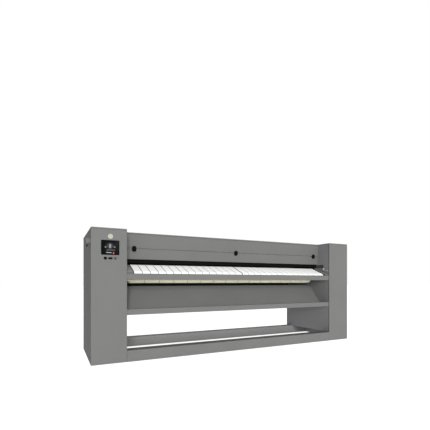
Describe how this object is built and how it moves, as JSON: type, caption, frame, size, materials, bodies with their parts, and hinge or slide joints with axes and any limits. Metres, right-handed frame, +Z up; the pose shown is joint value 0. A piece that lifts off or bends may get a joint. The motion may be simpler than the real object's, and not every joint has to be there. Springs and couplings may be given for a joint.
{
  "type": "flatwork ironer",
  "caption": "Flatwork drying ironer: white feed belts carry linen to a heated cylinder under a hood between side columns, and it returns to a tray at the front.",
  "frame": {"origin": "centre of the underside of the whole object's box, on the floor", "axes": "+X along the machine to the right as seen by the operator at the front, +Y from the front to the back, +Z up"},
  "size_m": [3.22, 0.878, 1.25],
  "materials": {
    "grey_paint": "fine-textured grey powder coat",
    "steel": "turned steel",
    "polished_steel": "ground and polished steel",
    "dark_steel": "dark oiled steel",
    "white_belt": "white woven polyester belt",
    "cream_belt": "cream heat-resistant ironing belt",
    "black_plastic": "fine-textured black plastic",
    "black_glass": "glossy black screen front",
    "black_rubber": "soft black rubber",
    "motor_blue": "dark blue machine enamel",
    "galvanised": "zinc-coated sheet"
  },
  "bodies": {
    "frame": {"base_front_beam": "grey_paint", "base_front_cover": "grey_paint", "base_rear_beam": "grey_paint", "base_rail_left": "grey_paint", "base_rail_right": "grey_paint", "left_front_panel": "grey_paint", "left_side_panel": "grey_paint", "left_inner_plate": "grey_paint", "left_rear_panel": "grey_paint", "left_top_cover": "grey_paint", "right_front_panel": "grey_paint", "right_side_panel": "grey_paint", "right_inner_plate": "grey_paint", "right_rear_panel": "grey_paint", "right_top_cover": "grey_paint", "hood_top_cover": "grey_paint", "hood_lower_panel": "grey_paint", "rear_panel": "grey_paint", "return_tray": "grey_paint", "feed_apron": "grey_paint", "feed_deck_side_left": "grey_paint", "feed_deck_side_right": "grey_paint", "heater_bank": "steel", "stripper_bar": "steel", "cylinder_bearing_left": "dark_steel", "cylinder_bearing_right": "dark_steel", "drive_chain": "dark_steel", "feed_belts_left": "white_belt", "feed_belts_right": "white_belt", "ironing_belts": "cream_belt", "cable_gland": "black_plastic", "control_screen": "black_glass", "foot_front_left": "black_rubber", "foot_front_right": "black_rubber", "foot_rear_left": "black_rubber", "foot_rear_right": "black_rubber", "gearmotor": "motor_blue", "lint_pan": "galvanised", "exhaust_fan_housing": "galvanised", "electrical_cabinet": "galvanised"},
    "cylinder": {"heated_cylinder": "polished_steel", "cylinder_sprocket": "dark_steel"},
    "nip_roller_body": {"nip_roller": "steel"},
    "upper_front_roller_body": {"upper_front_roller": "steel"},
    "upper_rear_roller_body": {"upper_rear_roller": "steel"},
    "lower_rear_roller_body": {"lower_rear_roller": "steel"},
    "lower_front_roller_body": {"lower_front_roller": "steel"},
    "feed_nose_roller_body": {"feed_nose_roller": "steel"},
    "feed_drive_roller_body": {"feed_drive_roller": "steel"},
    "motor_output": {"motor_sprocket": "dark_steel"},
    "fan_rotor": {"fan_impeller": "galvanised"},
    "guard": {"finger_guard": "black_plastic"},
    "hatch": {"hood_hatch": "grey_paint"},
    "latch_left": {"hatch_latch_left": "black_plastic"},
    "latch_middle": {"hatch_latch_middle": "black_plastic"},
    "latch_right": {"hatch_latch_right": "black_plastic"},
    "button": {"start_button": "black_plastic"},
    "port_flap": {"port_cover": "black_rubber"},
    "key": {"key_switch": "steel"},
    "mains_knob": {"main_switch": "black_plastic"}
  },
  "joints": [
    {"name": "cylinder_spin", "type": "hinge", "parent": "frame", "child": "cylinder", "pos_m": [0.02, 0.051, 0.962], "axis": [-1, 0, 0], "continuous": true},
    {"name": "nip_roller_spin", "type": "hinge", "parent": "frame", "child": "nip_roller_body", "pos_m": [0.02, -0.16289, 1.06174], "axis": [-1, 0, 0], "continuous": true},
    {"name": "upper_front_roller_spin", "type": "hinge", "parent": "frame", "child": "upper_front_roller_body", "pos_m": [0.02, -0.074, 1.17], "axis": [-1, 0, 0], "continuous": true},
    {"name": "upper_rear_roller_spin", "type": "hinge", "parent": "frame", "child": "upper_rear_roller_body", "pos_m": [0.02, 0.261, 1.17], "axis": [-1, 0, 0], "continuous": true},
    {"name": "lower_rear_roller_spin", "type": "hinge", "parent": "frame", "child": "lower_rear_roller_body", "pos_m": [0.02, 0.261, 0.775], "axis": [-1, 0, 0], "continuous": true},
    {"name": "lower_front_roller_spin", "type": "hinge", "parent": "frame", "child": "lower_front_roller_body", "pos_m": [0.02, -0.126, 0.775], "axis": [-1, 0, 0], "continuous": true},
    {"name": "feed_nose_roller_spin", "type": "hinge", "parent": "frame", "child": "feed_nose_roller_body", "pos_m": [0.02, -0.363, 0.823], "axis": [-1, 0, 0], "continuous": true},
    {"name": "feed_drive_roller_spin", "type": "hinge", "parent": "frame", "child": "feed_drive_roller_body", "pos_m": [0.02, -0.1827, 0.8989], "axis": [-1, 0, 0], "continuous": true},
    {"name": "motor_spin", "type": "hinge", "parent": "frame", "child": "motor_output", "pos_m": [1.381, 0.051, 0.49], "axis": [-1, 0, 0], "continuous": true},
    {"name": "fan_spin", "type": "hinge", "parent": "frame", "child": "fan_rotor", "pos_m": [-1.36, 0.271, 0.64], "axis": [-1, 0, 0], "continuous": true},
    {"name": "guard_swing", "type": "hinge", "parent": "frame", "child": "guard", "pos_m": [0.02, -0.1955, 0.99], "axis": [1, 0, 0], "range_deg": [0, 15]},
    {"name": "hatch_lift", "type": "hinge", "parent": "frame", "child": "hatch", "pos_m": [0.02, -0.223, 1.23125], "axis": [-1, 0, 0], "range_deg": [0, 95]},
    {"name": "latch_left_turn", "type": "hinge", "parent": "hatch", "child": "latch_left", "pos_m": [-1.144, -0.229, 1.10525], "axis": [0, 1, 0], "range_deg": [0, 90]},
    {"name": "latch_middle_turn", "type": "hinge", "parent": "hatch", "child": "latch_middle", "pos_m": [0.031, -0.229, 1.10525], "axis": [0, 1, 0], "range_deg": [0, 90]},
    {"name": "latch_right_turn", "type": "hinge", "parent": "hatch", "child": "latch_right", "pos_m": [1.206, -0.229, 1.10525], "axis": [0, 1, 0], "range_deg": [0, 90]},
    {"name": "start_button_press", "type": "slide", "parent": "frame", "child": "button", "axis": [0, 1, 0], "range_m": [0, 0.004], "stiffness_N_per_m": 400, "springref_m": -0.002},
    {"name": "port_cover_flip", "type": "hinge", "parent": "frame", "child": "port_flap", "pos_m": [-1.403, -0.4309, 0.98], "axis": [-1, 0, 0], "range_deg": [0, 100]},
    {"name": "key_turn", "type": "hinge", "parent": "frame", "child": "key", "pos_m": [-1.359, -0.429, 0.971], "axis": [0, 1, 0], "range_deg": [0, 90]},
    {"name": "main_switch_turn", "type": "hinge", "parent": "frame", "child": "mains_knob", "pos_m": [-1.57, -0.079, 1.1145], "axis": [-1, 0, 0], "range_deg": [0, 90]}
  ],
  "couplings": [
    {"joint": "nip_roller_spin", "follows": "cylinder_spin", "ratio": -6.3968},
    {"joint": "upper_front_roller_spin", "follows": "cylinder_spin", "ratio": -6.3968},
    {"joint": "upper_rear_roller_spin", "follows": "cylinder_spin", "ratio": -6.3968},
    {"joint": "lower_rear_roller_spin", "follows": "cylinder_spin", "ratio": -6.3968},
    {"joint": "lower_front_roller_spin", "follows": "cylinder_spin", "ratio": -6.3968},
    {"joint": "feed_nose_roller_spin", "follows": "cylinder_spin", "ratio": 5.5663},
    {"joint": "feed_drive_roller_spin", "follows": "cylinder_spin", "ratio": 7.1454},
    {"joint": "motor_spin", "follows": "cylinder_spin", "ratio": 3}
  ]
}
